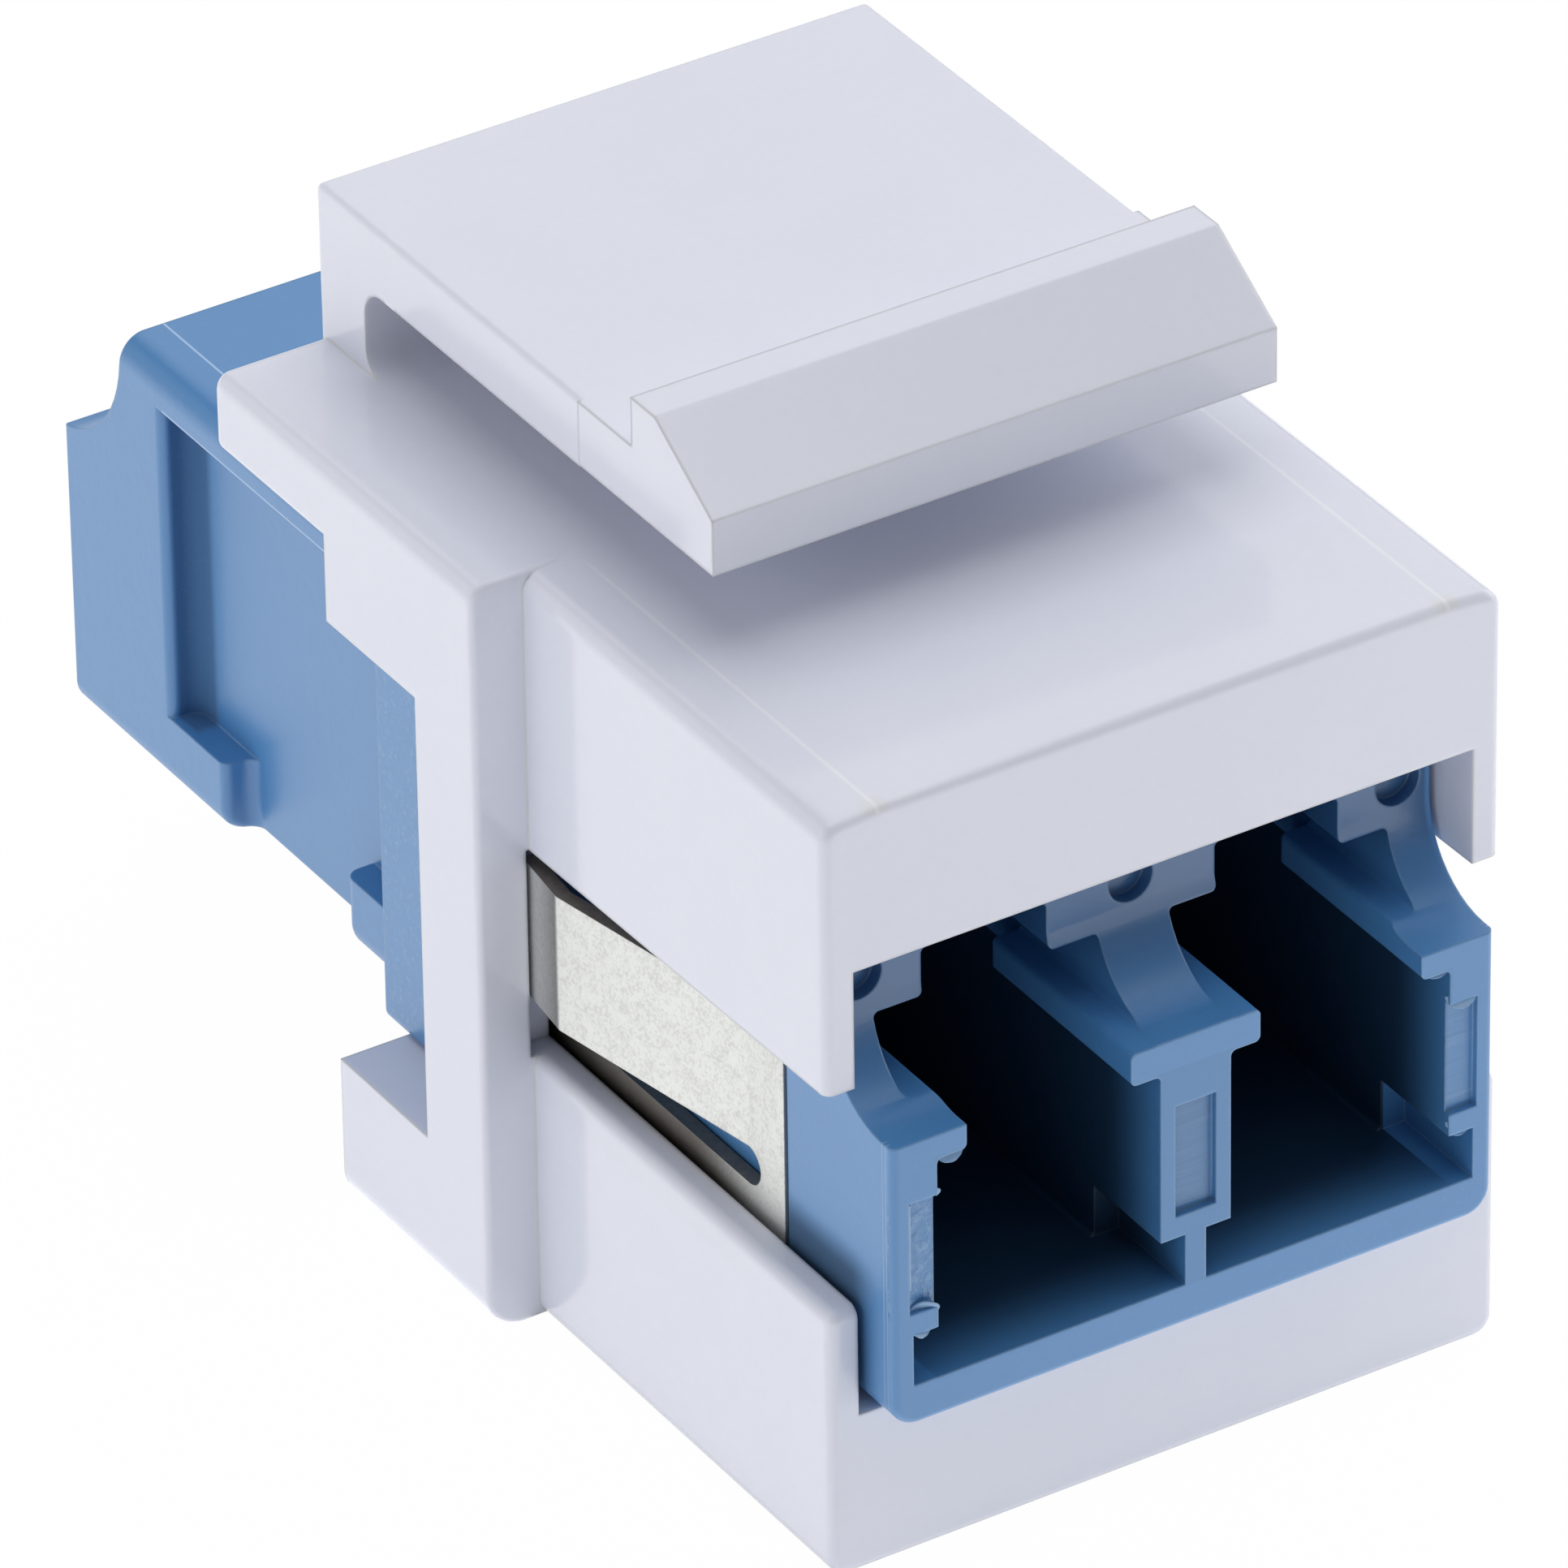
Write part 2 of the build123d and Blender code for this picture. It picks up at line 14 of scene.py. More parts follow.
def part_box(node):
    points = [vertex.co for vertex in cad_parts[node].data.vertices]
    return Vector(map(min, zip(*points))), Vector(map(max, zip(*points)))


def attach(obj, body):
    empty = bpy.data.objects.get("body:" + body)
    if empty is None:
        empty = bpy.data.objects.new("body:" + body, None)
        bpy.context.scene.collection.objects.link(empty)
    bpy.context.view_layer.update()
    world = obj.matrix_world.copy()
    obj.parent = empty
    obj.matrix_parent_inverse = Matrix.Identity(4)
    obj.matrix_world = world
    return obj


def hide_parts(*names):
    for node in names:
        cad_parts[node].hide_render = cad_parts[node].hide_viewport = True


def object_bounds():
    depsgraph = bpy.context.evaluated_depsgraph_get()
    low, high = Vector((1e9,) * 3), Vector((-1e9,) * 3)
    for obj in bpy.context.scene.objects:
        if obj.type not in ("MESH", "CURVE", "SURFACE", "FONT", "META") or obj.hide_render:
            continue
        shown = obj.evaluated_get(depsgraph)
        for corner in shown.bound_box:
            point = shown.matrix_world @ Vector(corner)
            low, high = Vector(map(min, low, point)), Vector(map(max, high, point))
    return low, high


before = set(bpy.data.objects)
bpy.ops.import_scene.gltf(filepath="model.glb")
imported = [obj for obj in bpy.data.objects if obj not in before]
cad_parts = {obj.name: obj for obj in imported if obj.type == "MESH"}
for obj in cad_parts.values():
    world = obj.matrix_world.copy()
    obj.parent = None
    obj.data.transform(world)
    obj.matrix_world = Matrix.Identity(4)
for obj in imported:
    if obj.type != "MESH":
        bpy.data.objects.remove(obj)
cad_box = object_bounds()
MM = 0.001
print("nodes:", sorted(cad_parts))

# %% [markdown]
# ## Camera
# The photograph was taken from the front left and above, from far away with a long lens, so the
# edges of the housing hardly converge. The place and the angles were fitted to straight edges of
# the photograph. Turning to the right is a positive heading here, and looking down is a positive
# pitch.

# %% Camera
camera_place = Vector((-135.22, -205.14, 173.26)) * MM
camera_heading = math.radians(31.811)
camera_pitch = math.radians(32.851)
camera_roll = math.radians(-0.877)
camera_lens = 378.8

ahead = Vector((math.sin(camera_heading), math.cos(camera_heading), 0))
level = Vector((math.cos(camera_heading), -math.sin(camera_heading), 0))
down = Vector((0, 0, -1))
forward = ahead * math.cos(camera_pitch) + down * math.sin(camera_pitch)
upward = ahead * math.sin(camera_pitch) - down * math.cos(camera_pitch)
right = level * math.cos(camera_roll) + upward * math.sin(camera_roll)
top = upward * math.cos(camera_roll) - level * math.sin(camera_roll)

camera_data = bpy.data.cameras.new("camera")
camera_data.sensor_width = 36
camera_data.sensor_fit = "HORIZONTAL"
camera_data.lens = camera_lens
camera_data.clip_start = 0.01
camera_data.clip_end = 10
camera = bpy.data.objects.new("camera", camera_data)
turn = Matrix((right, top, -forward)).transposed().to_4x4()
camera.matrix_world = Matrix.Translation(camera_place) @ turn
bpy.context.scene.collection.objects.link(camera)
bpy.context.scene.camera = camera
bpy.context.scene.view_settings.view_transform = "Standard"
print("camera looks along", tuple(round(v, 3) for v in forward))

# %% [markdown]
# ## Shader maths
# A finish is a graph of nodes, and most of it is arithmetic on masks and noises. A small class
# wraps one output socket, so that `1 - mask` or `mask * 0.2` writes the Math nodes by itself.
# Every other node comes from one method, `node`.

# %% Shader maths
class Wire:
    """One output socket, with Python's operators on it."""

    def __init__(self, finish, socket):
        self.finish = finish
        self.socket = socket

    def sum(self, operation, *others):
        sockets = {0: self}
        sockets.update({place + 1: other for place, other in enumerate(others)})
        return self.finish.node("ShaderNodeMath", {"operation": operation}, sockets)

    def __add__(self, other):
        return self.sum("ADD", other)

    def __mul__(self, other):
        return self.sum("MULTIPLY", other)

    def __sub__(self, other):
        return self.sum("SUBTRACT", other)

    def __rsub__(self, other):
        return (self * -1.0) + other

    __radd__ = __add__
    __rmul__ = __mul__

    def size(self):
        return self.sum("ABSOLUTE")

    def rise(self, low, high):
        """0 below low, 1 above high, and smooth between them."""
        settings = {"interpolation_type": "SMOOTHSTEP"}
        return self.finish.node("ShaderNodeMapRange", settings,
                                {"Value": self, "From Min": low, "From Max": high})

    def within(self, low, high, soft=0.02):
        """1 between two values, with soft ends, and 0 outside them."""
        return self.rise(low - soft, low) * (1 - self.rise(high, high + soft))


class Finish:
    """A material and its node tree, around one Principled shader."""

    def __init__(self, name, **constants):
        self.material = bpy.data.materials.new(name)
        self.material.use_nodes = True
        self.tree = self.material.node_tree
        self.shader = self.tree.nodes["Principled BSDF"]
        for socket, value in constants.items():
            self.shader.inputs[socket.replace("_", " ")].default_value = value
        self.place = self.node("ShaderNodeTexCoord", output="Object")
        split = self.tree.nodes.new("ShaderNodeSeparateXYZ")
        self.plug(split.inputs[0], self.place)
        self.x, self.y, self.z = (Wire(self, end) * 1000.0 for end in split.outputs)

    def plug(self, socket, value):
        if isinstance(value, Wire):
            self.tree.links.new(value.socket, socket)
        else:
            socket.default_value = value

    def node(self, kind, settings=None, sockets=None, output=0):
        made = self.tree.nodes.new(kind)
        for name, value in (settings or {}).items():
            setattr(made, name, value)
        for name, value in (sockets or {}).items():
            self.plug(made.inputs[name], value)
        return Wire(self, made.outputs[output])

    def noise(self, scale, detail=2.0, roughness=0.5, stretch=(1, 1, 1)):
        """Noise from 0 to 1, with a scale in features per metre."""
        place = self.node("ShaderNodeMapping", None, {"Vector": self.place, "Scale": stretch})
        return self.node("ShaderNodeTexNoise", None,
                         {"Vector": place, "Scale": scale, "Detail": detail,
                          "Roughness": roughness})

    def blend(self, mask, first, second):
        """The first colour where the mask is 0, and the second where it is 1."""
        return self.node("ShaderNodeMix", {"data_type": "RGBA"},
                         {0: mask, 6: first, 7: second}, output=2)

    def facing(self):
        """The true direction of the surface."""
        return self.node("ShaderNodeNewGeometry", output=1)

    def rounded(self, radius, sharp=None):
        """The surface's direction, turned softly round the edges, except where sharp is 1."""
        soft = self.node("ShaderNodeBevel", {"samples": 6}, {"Radius": radius})
        if sharp is None:
            return soft
        return self.node("ShaderNodeMix", {"data_type": "VECTOR"},
                         {0: sharp, 4: soft, 5: self.facing()}, output=1)

    def turned(self, soft):
        """How far a softened direction has left the true one: 0 on flats, up to 1 on edges."""
        same = self.node("ShaderNodeVectorMath", {"operation": "DOT_PRODUCT"},
                         {0: soft, 1: self.facing()}, output=1)
        return (1 - same).rise(0.01, 0.22)

    def bump(self, height, strength, distance, below=None):
        sockets = {"Height": height, "Strength": strength, "Distance": distance}
        if below is not None:
            sockets["Normal"] = below
        return self.node("ShaderNodeBump", None, sockets)

    def wear(self, **wires):
        """Feed the shader's own sockets."""
        for name, wire in wires.items():
            self.plug(self.shader.inputs[name.replace("_", " ")], wire)
        return self.material


# %% [markdown]
# ## White frame plastic
# The frame is moulded in a glossy, faintly lavender white. It looks plain, but it isn't flat: the
# gloss wanders where the melt flowed, the skin has a fine grain that breaks up the highlights,
# and the colour is a trace warmer in places. All three are noises on the object's own
# coordinates, so they stay put when the latch moves.

# %% White plastic
nose_top = 16.20
window_sill = 5.80
rim_place = 6.04
root_seam = 16.60
white_low = (0.735, 0.757, 0.862, 1)
white_high = (0.775, 0.796, 0.890, 1)


def white_plastic():
    skin = Finish("white_plastic", IOR=1.50)
    flow = skin.noise(90, 3, 0.55, stretch=(1.0, 0.35, 1.0))
    cloud = skin.noise(420, 4, 0.6)
    drag = skin.noise(2600, 3, 0.6, stretch=(0.05, 1.0, 1.0))
    seam = skin.y.within(root_seam - 0.15, root_seam + 0.15) * skin.z.rise(17.0, 17.2)
    soft = skin.rounded(0.12 * MM, sharp=seam)
    grain = skin.noise(5200, 3, 0.6)
    tone = (flow - 0.5) * 1.2 + (cloud - 0.5) * 0.8 + (grain - 0.5) * 0.7 + 0.5
    colour = skin.blend(tone, white_low, white_high)
    # Painted highlight: the edges are painted paler and yellower than the faces
    colour = skin.blend(skin.turned(soft) * 0.7, colour, (0.80, 0.805, 0.79, 1))
    # Painted shade: the sill below the clip is painted a trace darker and browner under the wing
    sill = skin.x.size().within(6.5, 7.25)
    sill = sill * skin.z.within(window_sill - 0.6, window_sill + 0.25, 0.35)
    shade_under_wing = sill * skin.y.within(3.4, 10.2, 1.2)
    colour = skin.blend(shade_under_wing * 0.05, colour, (0.50, 0.46, 0.42, 1))
    # The corners of the two fine rims on the nose are a little yellow too
    top = skin.z.within(nose_top - 0.12, nose_top + 0.1)
    corner = top * skin.x.size().within(rim_place - 0.12, rim_place + 0.16, 0.2)
    corner = corner * (1 - skin.y.rise(0.15, 0.5))
    colour = skin.blend(corner * 0.3, colour, (0.70, 0.70, 0.62, 1))
    # and a fine painted highlight runs along the rims themselves
    rim = top * skin.x.size().within(rim_place - 0.025, rim_place + 0.025, 0.03)
    rim = rim * (1 - skin.y.rise(9.4, 9.9))
    colour = skin.blend(rim * 0.35, colour, (0.95, 0.95, 0.97, 1))
    # Fine streaks run across the front of the nose's top
    front = top * (1 - skin.y.rise(1.5, 4.5))
    streak = (drag - 0.5) * front
    gloss = 0.10 + flow * 0.05 + streak * 0.25
    surface = skin.bump(drag * front + cloud * 0.6 + rim * 0.8, 0.12, 0.000014, soft)
    return skin.wear(Base_Color=colour, Roughness=gloss, Normal=surface)


# %% [markdown]
# ## Blue adapter plastic
# The adapter is a mid blue with a satin skin. The lamps alone leave the ports, the gap behind the
# clip and the strip above the wall of the frame lighter than in the photograph, so these places
# are given a deeper blue, by their place and depth. That part of the shadow is painted on, and
# it stays when the adapter is lit in another way.

# %% Blue plastic
front_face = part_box("adapter_front_half")[0][1] / MM
plate_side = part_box("adapter_rear_half")[1][0] / MM
adapter_top = 12.84
rear_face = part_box("adapter_rear_half")[1][1] / MM
port_floor = 4.41
port_top = 9.11
port_edge = 5.50
clip_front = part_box("spring_clip")[0][1] / MM
waist_lip = adapter_top - 0.84
waist_end = 24.40
seat_foot = 5.90
seat_top = 8.40
left_seat_edge = -5.40
blue_low = (0.062, 0.222, 0.492, 1)
blue_high = (0.078, 0.250, 0.535, 1)
print("front face of the adapter at", round(front_face, 2), "mm")


def blue_plastic():
    skin = Finish("blue_plastic", IOR=1.68)
    flow = skin.noise(140, 3, 0.55, stretch=(1.0, 0.4, 1.0))
    grain = skin.noise(9000, 4, 0.65)
    coarse = skin.noise(5200, 3, 0.6)
    pits = skin.noise(1700, 4, 0.7)
    drag = skin.noise(5200, 3, 0.6, stretch=(0.08, 1.0, 1.0))
    wide = skin.x.size()
    soft = skin.rounded(0.07 * MM)
    colour = skin.blend(flow, blue_low, blue_high)
    # Painted highlight: the edges are painted paler than the faces
    colour = skin.blend(skin.turned(soft) * 0.65, colour, (0.26, 0.48, 0.76, 1))
    # Painted shade: the corner at the rear of the waist is painted a soft dark blue
    valley = skin.y.within(waist_end - 0.5, waist_end + 0.05, 0.3)
    valley = valley * (1 - wide.rise(6.20, 6.35)) * skin.z.within(5.0, waist_lip - 0.1)
    colour = skin.blend(valley * 0.62, colour, (0.01, 0.06, 0.17, 1))
    # The grain is sandier on the sides of the plate
    plate = wide.rise(plate_side - 0.12, plate_side - 0.04)
    sand = (grain - 0.5) * (0.55 + plate * 0.9)
    colour = skin.blend(sand.rise(0.02, 0.45), colour, (0.20, 0.36, 0.60, 1))
    # The seats at the ends of the port walls: coarse at the left, dragged at the others
    seat = skin.y.within(front_face + 0.12, front_face + 0.18)
    seat = seat * skin.z.within(seat_foot, seat_top)
    past_left = skin.x.rise(left_seat_edge, left_seat_edge + 0.1)
    left = seat * (1 - past_left)
    other = seat * past_left
    marks = (coarse - 0.5) * left * 3.4 + (drag - 0.5) * other * 1.2
    colour = skin.blend(marks.rise(0.05, 0.45) * 0.6, colour, (0.24, 0.42, 0.66, 1))
    colour = skin.blend(seat * 0.45, colour, (0.065, 0.20, 0.43, 1))
    # The ports are shaded by their depth from the nearer mouth
    depth = (skin.y - front_face).sum("MINIMUM", rear_face - skin.y)
    within_port = 1 - wide.rise(port_edge + 0.03, port_edge + 0.07)
    within_port = within_port * skin.z.within(port_floor - 0.02, port_top + 0.05)
    shade = within_port * depth.rise(-0.5, 1.9) * 0.88
    # and so is the upper part of the front mouths, with painted shade under the roof of the nose
    upper = skin.z.rise(9.7, 11.3) * depth.rise(0.25, 1.6)
    upper = upper * (1 - skin.y.rise(7.0, 8.0)) * (1 - wide.rise(6.30, 6.40))
    colour = skin.blend(upper * 0.75, colour, (0.02, 0.075, 0.19, 1))
    # So are the sides where the clip or the wall of the frame lies close against them
    side = wide.rise(6.36, 6.42) * (1 - skin.y.rise(10.5, 11.0))
    behind_clip = side * skin.y.rise(clip_front, clip_front + 0.05)
    above_wall = side * (1 - skin.z.rise(window_sill + 0.35, window_sill + 1.15))
    above_wall = above_wall * skin.y.rise(-0.6, 0.5)
    shade = (shade + behind_clip * 0.95).sum("MINIMUM", 0.95)
    colour = skin.blend(shade, colour, (0.004, 0.012, 0.03, 1))
    colour = skin.blend(above_wall * 0.9, colour, (0.012, 0.055, 0.13, 1))
    # Parting line beside the rounded corner of the rear half's top
    rear = skin.y.rise(15.9, 16.0) * skin.z.rise(adapter_top - 0.1, adapter_top - 0.05)
    parting = rear * wide.within(5.46, 5.49)
    # Painted highlight along the lower edge of the land above the waist
    lip = skin.y.within(16.0, 24.3) * wide.rise(6.3, 6.4)
    lip = lip * skin.z.within(waist_lip - 0.005, waist_lip + 0.03)
    # Double witness line beside the rounded front corner
    witness = skin.y.within(front_face + 0.20, front_face + 0.22, 0.012)
    witness = witness + skin.y.within(front_face + 0.31, front_face + 0.33, 0.012)
    witness = witness * wide.rise(6.3, 6.4)
    pale = (parting * 0.8 + lip * 0.7 + witness * 0.35).sum("MINIMUM", 1.0)
    colour = skin.blend(pale, colour, (0.42, 0.60, 0.86, 1))
    gloss = 0.28 + flow * 0.06 + grain * 0.06 + (behind_clip + above_wall + valley) * 0.5
    height = sand * 0.6 + pits * 1.4 + marks * 3.0 + parting * 1.5 + witness * 1.5
    surface = skin.bump(height, 0.30, 0.000022, soft)
    return skin.wear(Base_Color=colour, Roughness=gloss, Normal=surface)


# %% [markdown]
# ## Spring steel
# The clip is cut from bright rolled strip. Its surface is mottled: small patches are a little
# rougher and darker than their neighbours, with fine lines along the rolling direction.

# %% Spring steel
bend_place = 8.90


def spring_steel():
    sheet = Finish("spring_steel", Metallic=1.0)
    cloud = sheet.noise(1500, 4, 0.65)
    patches = sheet.noise(4200, 4, 0.65)
    fine = sheet.noise(15000, 2, 0.6)
    rolling = sheet.noise(2600, 3, 0.6, stretch=(1.0, 1.0, 0.08))
    speck = (patches * 0.35 + fine * 0.5 + cloud * 0.15).rise(0.44, 0.62)
    colour = sheet.blend(speck, (0.67, 0.68, 0.665, 1), (0.60, 0.60, 0.575, 1))
    # The lip behind the bend is painted dark grey, a painted dark reflection
    lip = sheet.y.rise(bend_place, bend_place + 0.12) * sheet.x.size().rise(7.2, 7.35)
    colour = sheet.blend(lip * (0.7 + rolling * 0.3), colour, (0.10, 0.10, 0.105, 1))
    # Painted shade: the strip of the panel below the wing darkens to brown towards the rear, under
    # the wing
    strip = (1 - sheet.x.size().rise(6.72, 6.76)) * (1 - sheet.z.rise(6.9, 7.1))
    shade_under_wing = strip * sheet.y.rise(clip_front + 0.3, clip_front + 3.2)
    colour = sheet.blend(shade_under_wing * 0.85, colour, (0.12, 0.10, 0.085, 1))
    gloss = 0.48 + speck * 0.10 + rolling * 0.05
    surface = sheet.bump(patches * 0.5 + fine, 0.10, 0.00001, sheet.rounded(0.04 * MM))
    return sheet.wear(Base_Color=colour, Roughness=gloss, Normal=surface)


# %% [markdown]
# ## Sheared edges of the clip
# The clip's outline was punched out, so its narrow edges are torn and dark brown, unlike the
# bright rolled faces. They get a finish of their own, and the faces that lie in the thickness of
# the sheet are picked out by their direction when the clip is made ready.

# %% Sheared edge
def sheared_edge():
    edge = Finish("sheared_edge", Metallic=0.8)
    tear = edge.noise(7000, 3, 0.6)
    colour = edge.blend(tear, (0.16, 0.14, 0.12, 1), (0.34, 0.31, 0.28, 1))
    return edge.wear(Base_Color=colour, Roughness=0.45 + tear * 0.2,
                     Normal=edge.bump(tear, 0.3, 0.00002))


# %% Sleeve ceramic
def sleeve_ceramic():
    skin = Finish("sleeve_ceramic", IOR=2.1)
    cloud = skin.noise(900, 2, 0.5)
    colour = skin.blend(cloud, (0.86, 0.84, 0.79, 1), (0.91, 0.90, 0.87, 1))
    return skin.wear(Base_Color=colour, Roughness=0.16 + cloud * 0.08)


# %% [markdown]
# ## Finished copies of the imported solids
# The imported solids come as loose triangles. Each one is copied, its doubled corners are merged,
# and the triangles of its flat faces are dissolved into whole faces, so that the shading runs
# smoothly round every fillet and stays crisp at the corners. Broad flat faces lead the shading,
# so that they look flat up to their edges. The copy stands exactly where the solid stands and
# replaces it. The last tenth of a millimetre of softness at the small edges is left to the
# finish, which turns the light round them.

# %% Finished copies
merge_distance = 0.002 * MM
dissolve_angle = 0.3
curve_limit = 35
flat_limit = 0.5
flat_area = 1.2 * MM ** 2
flat_breadth = 0.16 * MM


def is_flat(mesh, face):
    """True for a face that is large and also broad, unlike the strips of a fillet."""
    ends = [mesh.vertices[corner].co for corner in face.vertices]
    outline = sum((ends[place] - ends[place - 1]).length for place in range(len(ends)))
    return face.area > flat_area and face.area / outline > flat_breadth


def sharpen(mesh):
    """Mark the edges that turn too far, where two flat faces meet or on a curve."""
    beside = {}
    for face in mesh.polygons:
        for ends in face.edge_keys:
            beside.setdefault(ends, []).append(face)
    for edge in mesh.edges:
        first, second = beside[edge.key]
        both = is_flat(mesh, first) and is_flat(mesh, second)
        turn = math.degrees(first.normal.angle(second.normal))
        edge.use_edge_sharp = turn > (flat_limit if both else curve_limit)


def finished(node, material, body):
    """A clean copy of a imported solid, in its finish."""
    piece = bpy.data.objects.new(node + "_finished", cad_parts[node].data.copy())
    bpy.context.scene.collection.objects.link(piece)
    bpy.ops.object.select_all(action="DESELECT")
    piece.select_set(True)
    bpy.context.view_layer.objects.active = piece
    bpy.ops.object.mode_set(mode="EDIT")
    bpy.ops.mesh.select_all(action="SELECT")
    bpy.ops.mesh.remove_doubles(threshold=merge_distance)
    bpy.ops.mesh.dissolve_limited(angle_limit=math.radians(dissolve_angle))
    bpy.ops.mesh.select_mode(type="FACE")
    bpy.ops.mesh.select_all(action="DESELECT")
    bpy.ops.object.mode_set(mode="OBJECT")
    # The wide flat faces keep their own direction, and the curves beside them bend to meet it
    for face in piece.data.polygons:
        face.select = is_flat(piece.data, face)
    bpy.ops.object.mode_set(mode="EDIT")
    bpy.ops.mesh.mod_weighted_strength(set=True, face_strength="STRONG")
    bpy.ops.mesh.select_mode(type="VERT")
    bpy.ops.object.mode_set(mode="OBJECT")
    bpy.ops.object.shade_smooth()
    sharpen(piece.data)
    weight = piece.modifiers.new("flat faces lead", "WEIGHTED_NORMAL")
    weight.mode = "CORNER_ANGLE"
    weight.use_face_influence = True
    weight.keep_sharp = True
    bpy.ops.object.modifier_apply(modifier=weight.name)
    piece.data.materials.clear()
    piece.data.materials.append(material)
    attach(piece, body)
    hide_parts(node)
    print(node, "has", len(piece.data.polygons), "faces")
    return piece


white = white_plastic()
blue = blue_plastic()
steel = spring_steel()
sheared = sheared_edge()
ceramic = sleeve_ceramic()
finished("keystone_frame", white, "module")
finished("latch_arm", white, "latch")
finished("adapter_front_half", blue, "module")
finished("adapter_rear_half", blue, "module")
clip = finished("spring_clip", steel, "module")
for node in ("sleeve_left", "sleeve_right"):
    finished(node, ceramic, "module")

# %% Sheared edges of the clip
largest_cut = 3.0 * MM ** 2


def is_cut(face):
    """True for a narrow face that lies in the thickness of the sheet."""
    narrow = face.area < largest_cut and abs(face.normal.x) < 0.2
    on_band = face.normal.z > 0.5 and face.center.z > (adapter_top - 0.1) * MM
    return narrow and not on_band


clip.data.materials.append(sheared)
for face in clip.data.polygons:
    if is_cut(face):
        face.material_index = 1
print("cut faces of the clip:", sum(face.material_index for face in clip.data.polygons))

# %% [markdown]
# ## Flash at the ports
# Thin slivers of flash stand at the rails and at the seats of the port walls, as they do where a
# mould has worn. Each one is a small sheet with a root along the edge that it grew from,
# a rounded free edge and a curl towards the front. It starts as a grid whose rows are narrowed and
# moved one by one, and a Solidify modifier gives it its thickness. Torn plastic turns pale, so the
# flash has a lighter finish than the walls.

# %% Torn plastic
def torn_plastic():
    skin = Finish("torn_plastic", IOR=1.47)
    tear = skin.noise(6000, 3, 0.6)
    colour = skin.blend(tear, (0.22, 0.39, 0.62, 1), (0.36, 0.53, 0.74, 1))
    return skin.wear(Base_Color=colour, Roughness=0.30 + tear * 0.15,
                     Normal=skin.bump(tear, 0.2, 0.00002))


torn = torn_plastic()

# %% Flash at the ports
flake_columns = 12
flake_rows = 6
flake_thickness = 0.03


def select_row(piece, row):
    """Select one row of a grid's corners, in edit mode."""
    bpy.ops.object.mode_set(mode="OBJECT")
    across = flake_columns + 1
    for corner in piece.data.vertices:
        corner.select = corner.index // across == row
    for edge in piece.data.edges:
        edge.select = all(piece.data.vertices[end].select for end in edge.vertices)
    for face in piece.data.polygons:
        face.select = False
    bpy.ops.object.mode_set(mode="EDIT")


def flake(name, root, width, length, heading, curl, depth):
    """A sliver of flash: its root's middle (x, z), sizes in mm, and turns in degrees."""
    bpy.ops.object.select_all(action="DESELECT")
    bpy.ops.mesh.primitive_grid_add(x_subdivisions=flake_columns, y_subdivisions=flake_rows,
                                    size=MM, location=(0, 0, 0))
    piece = bpy.context.active_object
    piece.name = name
    for row in range(flake_rows + 1):
        share = row / flake_rows
        bend = math.radians(curl) * share
        reach = length * (math.sin(bend) / math.radians(curl))
        rise = length * ((1 - math.cos(bend)) / math.radians(curl))
        select_row(piece, row)
        taper = width * math.sqrt(1 - 0.98 * share ** 2)
        centre = (share - 0.5) * MM
        bpy.ops.transform.resize(value=(taper, 1, 1))
        bpy.ops.transform.translate(value=(0, reach * MM - centre, rise * MM))
    bpy.ops.object.mode_set(mode="OBJECT")
    wall = piece.modifiers.new("thickness", "SOLIDIFY")
    wall.thickness = flake_thickness * MM
    wall.offset = -1
    bpy.ops.object.modifier_apply(modifier=wall.name)
    bpy.ops.object.shade_smooth_by_angle(angle=math.radians(50))
    # Stand it up against the mouth, hanging down, then turn it to its heading
    upright = Matrix.Rotation(math.radians(90), 4, "X")
    hanging = Matrix.Rotation(math.radians(180 - heading), 4, "Y")
    place = Vector((root[0], front_face + depth, root[1])) * MM
    piece.matrix_world = Matrix.Translation(place) @ hanging @ upright
    bpy.ops.object.transform_apply(location=True, rotation=True, scale=True)
    piece.data.materials.append(torn)
    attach(piece, "module")
    return piece


flakes = (
    ("flash_left_rail", (-5.17, 9.15), 0.56, 0.24, 10, 60, 0.10),
    ("flash_left_seat_top", (-5.52, 8.35), 0.16, 0.12, 120, 40, 0.06),
    ("flash_left_seat_side", (-6.03, 7.36), 1.86, 0.12, -90, 30, 0.06),
    ("flash_left_seat_foot", (-5.80, 5.78), 0.60, 0.42, 145, 60, 0.12),
    ("flash_left_foot", (-5.80, 5.63), 0.46, 0.26, -22, 60, 0.08),
    ("flash_right_rail", (5.28, 9.14), 0.50, 0.13, 0, 60, 0.08),
    ("flash_right_seat_top", (5.80, 8.52), 0.70, 0.33, 3, 50, 0.08),
    ("flash_right_seat_foot", (5.55, 5.76), 0.16, 0.10, -20, 40, 0.06),
    ("flash_right_foot", (5.77, 5.54), 0.42, 0.13, -5, 60, 0.08),
)
for values in flakes:
    made = flake(*values)
    print(made.name, "has", len(made.data.polygons), "faces")

# %% [markdown]
# ## Studio
# The object stands on a white floor in soft light. The floor shows the camera a white that no
# lamp has to reach, so the lamps stay at the level at which colours look as they are written, and
# part of the floor stays matt, so that it keeps the object's shadow. The faces near the floor are
# bright in the photograph, as they would be on a light table. So besides the boxes above and
# around, two lamps lie on the floor and light the object from below. They leave a foot free round
# it and are hidden from the camera.

# %% Floor
seen_share = 0.985

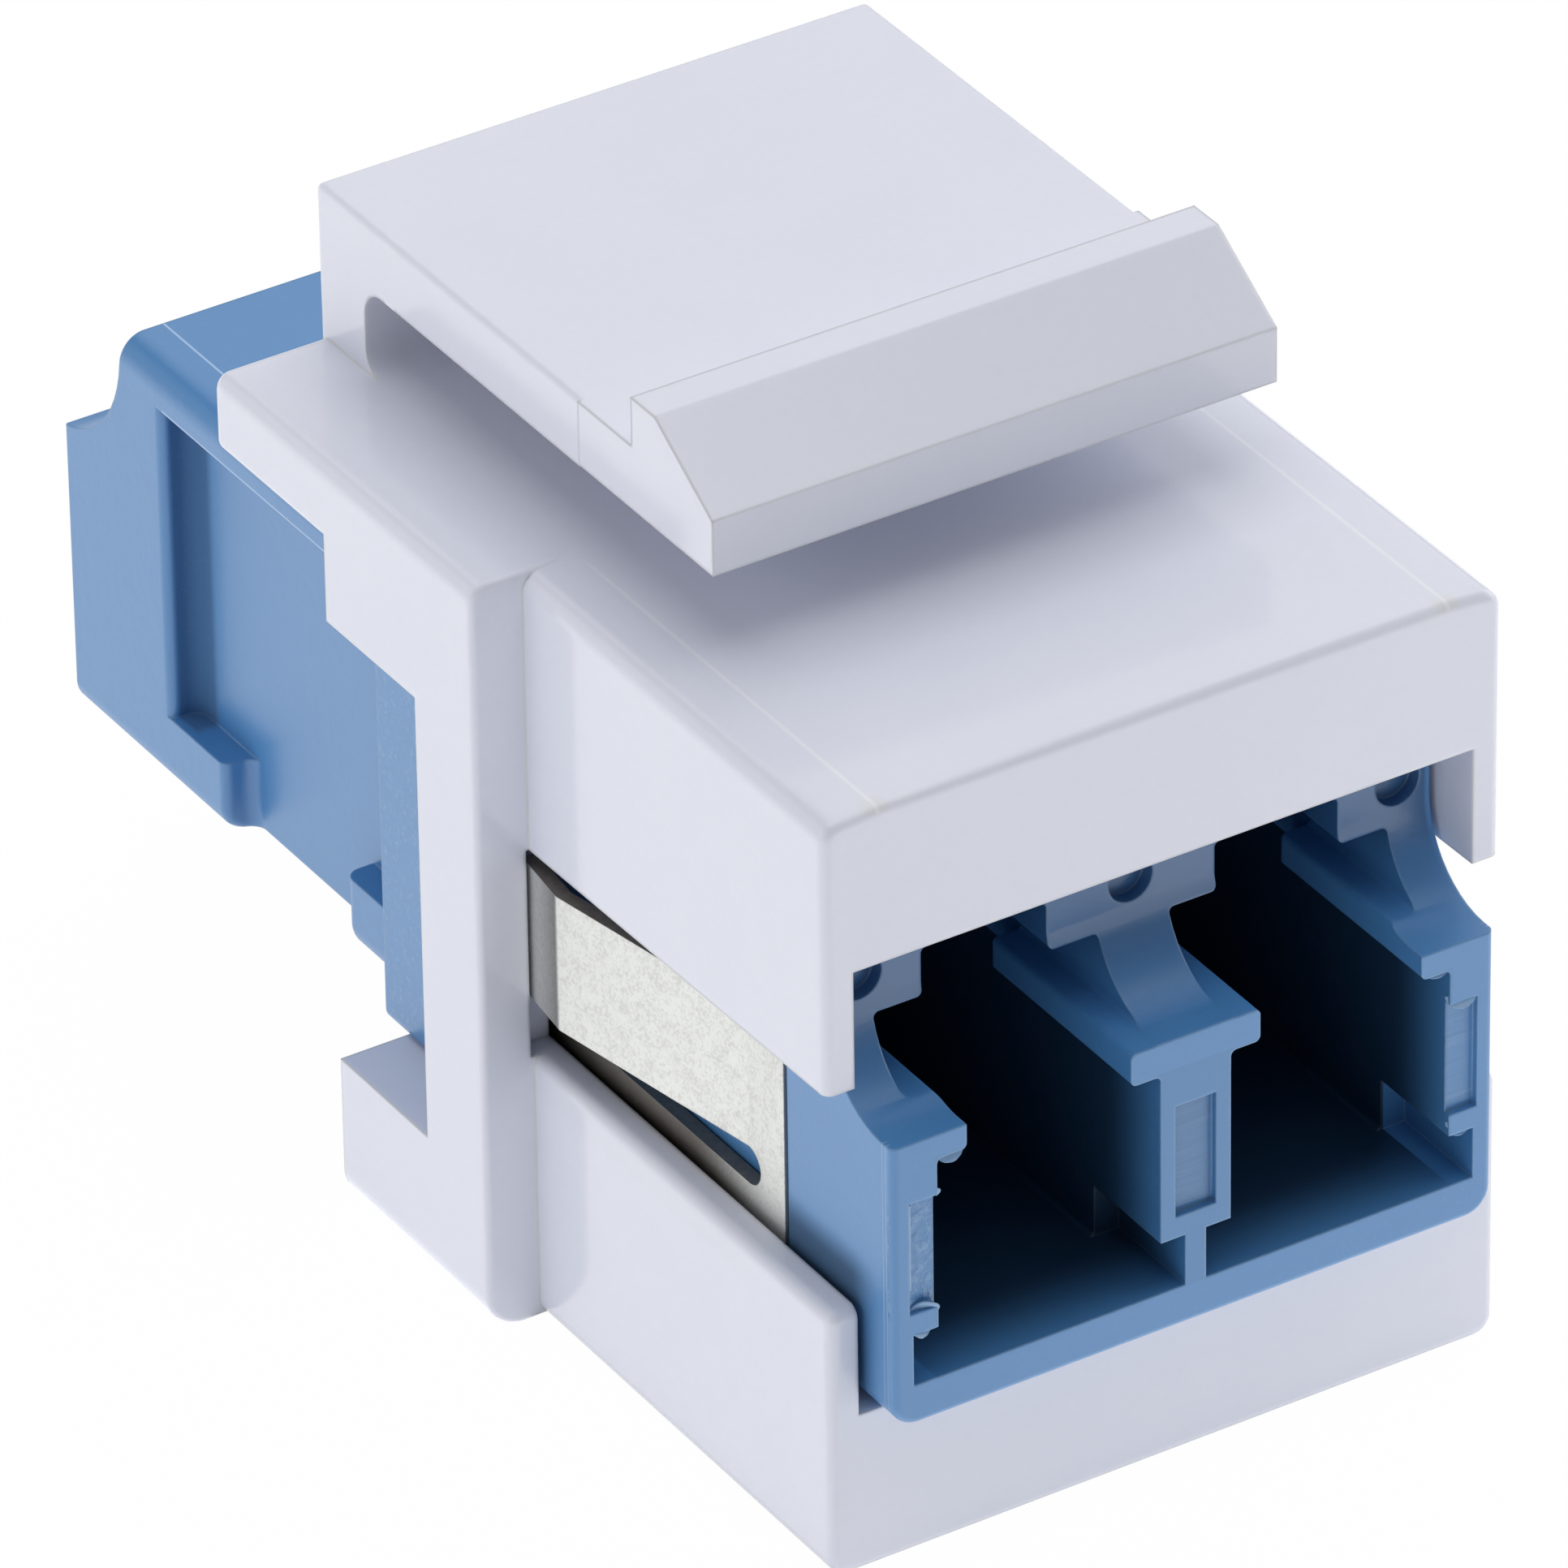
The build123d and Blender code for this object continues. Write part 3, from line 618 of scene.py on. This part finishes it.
bpy.ops.mesh.primitive_plane_add(size=1.6, location=(0, 0.3, 0))
floor = bpy.context.active_object
floor.name = "floor"
paper = Finish("floor_paper", Base_Color=(0.9, 0.9, 0.9, 1), Roughness=1.0)
glow = paper.node("ShaderNodeEmission", None, {"Color": (1, 1, 1, 1), "Strength": 1.0})
rays = paper.tree.nodes.new("ShaderNodeLightPath")
seen = Wire(paper, rays.outputs["Is Camera Ray"])
seen = seen.sum("MAXIMUM", Wire(paper, rays.outputs["Is Glossy Ray"]))
seen = seen.sum("MAXIMUM", Wire(paper, rays.outputs["Is Transmission Ray"]))
mixed = paper.node("ShaderNodeMixShader", None,
                   {0: seen * seen_share, 1: Wire(paper, paper.shader.outputs[0]), 2: glow})
paper.plug(paper.tree.nodes["Material Output"].inputs["Surface"], mixed)
floor.data.materials.append(paper.material)

# %% World and lamps
world = bpy.data.worlds.new("studio")
bpy.context.scene.world = world
world.use_nodes = True
sky = world.node_tree.nodes["Background"]
sky.inputs["Color"].default_value = (1, 1, 1, 1)
sky.inputs["Strength"].default_value = 0.21
watts_per_level = 4
table_height = 0.05 * MM


def softbox(name, place, aim, size, level):
    """An area lamp at a place, turned to face a point, with its brightness as a level."""
    lamp = bpy.data.lights.new(name, "AREA")
    lamp.shape = "RECTANGLE"
    lamp.size, lamp.size_y = size
    lamp.energy = watts_per_level * level * size[0] * size[1]
    box = bpy.data.objects.new(name, lamp)
    box.location = place
    box.rotation_euler = (Vector(aim) - Vector(place)).to_track_quat("-Z", "Y").to_euler()
    box.visible_camera = False
    bpy.context.scene.collection.objects.link(box)
    print(name, "gives", round(lamp.energy, 3), "W")


def table(name, x, y, level):
    """A part of the light table, lying on the floor between two x and two y."""
    place = ((x[0] + x[1]) / 2, (y[0] + y[1]) / 2, table_height)
    softbox(name, place, (place[0], place[1], 1), (x[1] - x[0], y[1] - y[0]), level)


middle = (cad_box[0] + cad_box[1]) / 2
softbox("top_box", (0.00, 0.02, 0.42), middle, (0.40, 0.40), 1.22)
softbox("rear_top_box", (0.18, 0.30, 0.28), middle, (0.48, 0.36), 0.62)
softbox("left_box", (-0.36, 0.02, 0.14), middle, (0.36, 0.26), 0.80)
softbox("rear_left_box", (-0.28, 0.30, 0.14), middle, (0.30, 0.26), 0.40)
softbox("right_box", (0.36, 0.02, 0.16), middle, (0.36, 0.30), 1.50)
foot = 0.0074
table("left_table", (-0.40, -foot), (-0.40, 0.40), 0.30)
table("front_table", (-foot, 0.20), (-0.40, 0.0), 0.45)
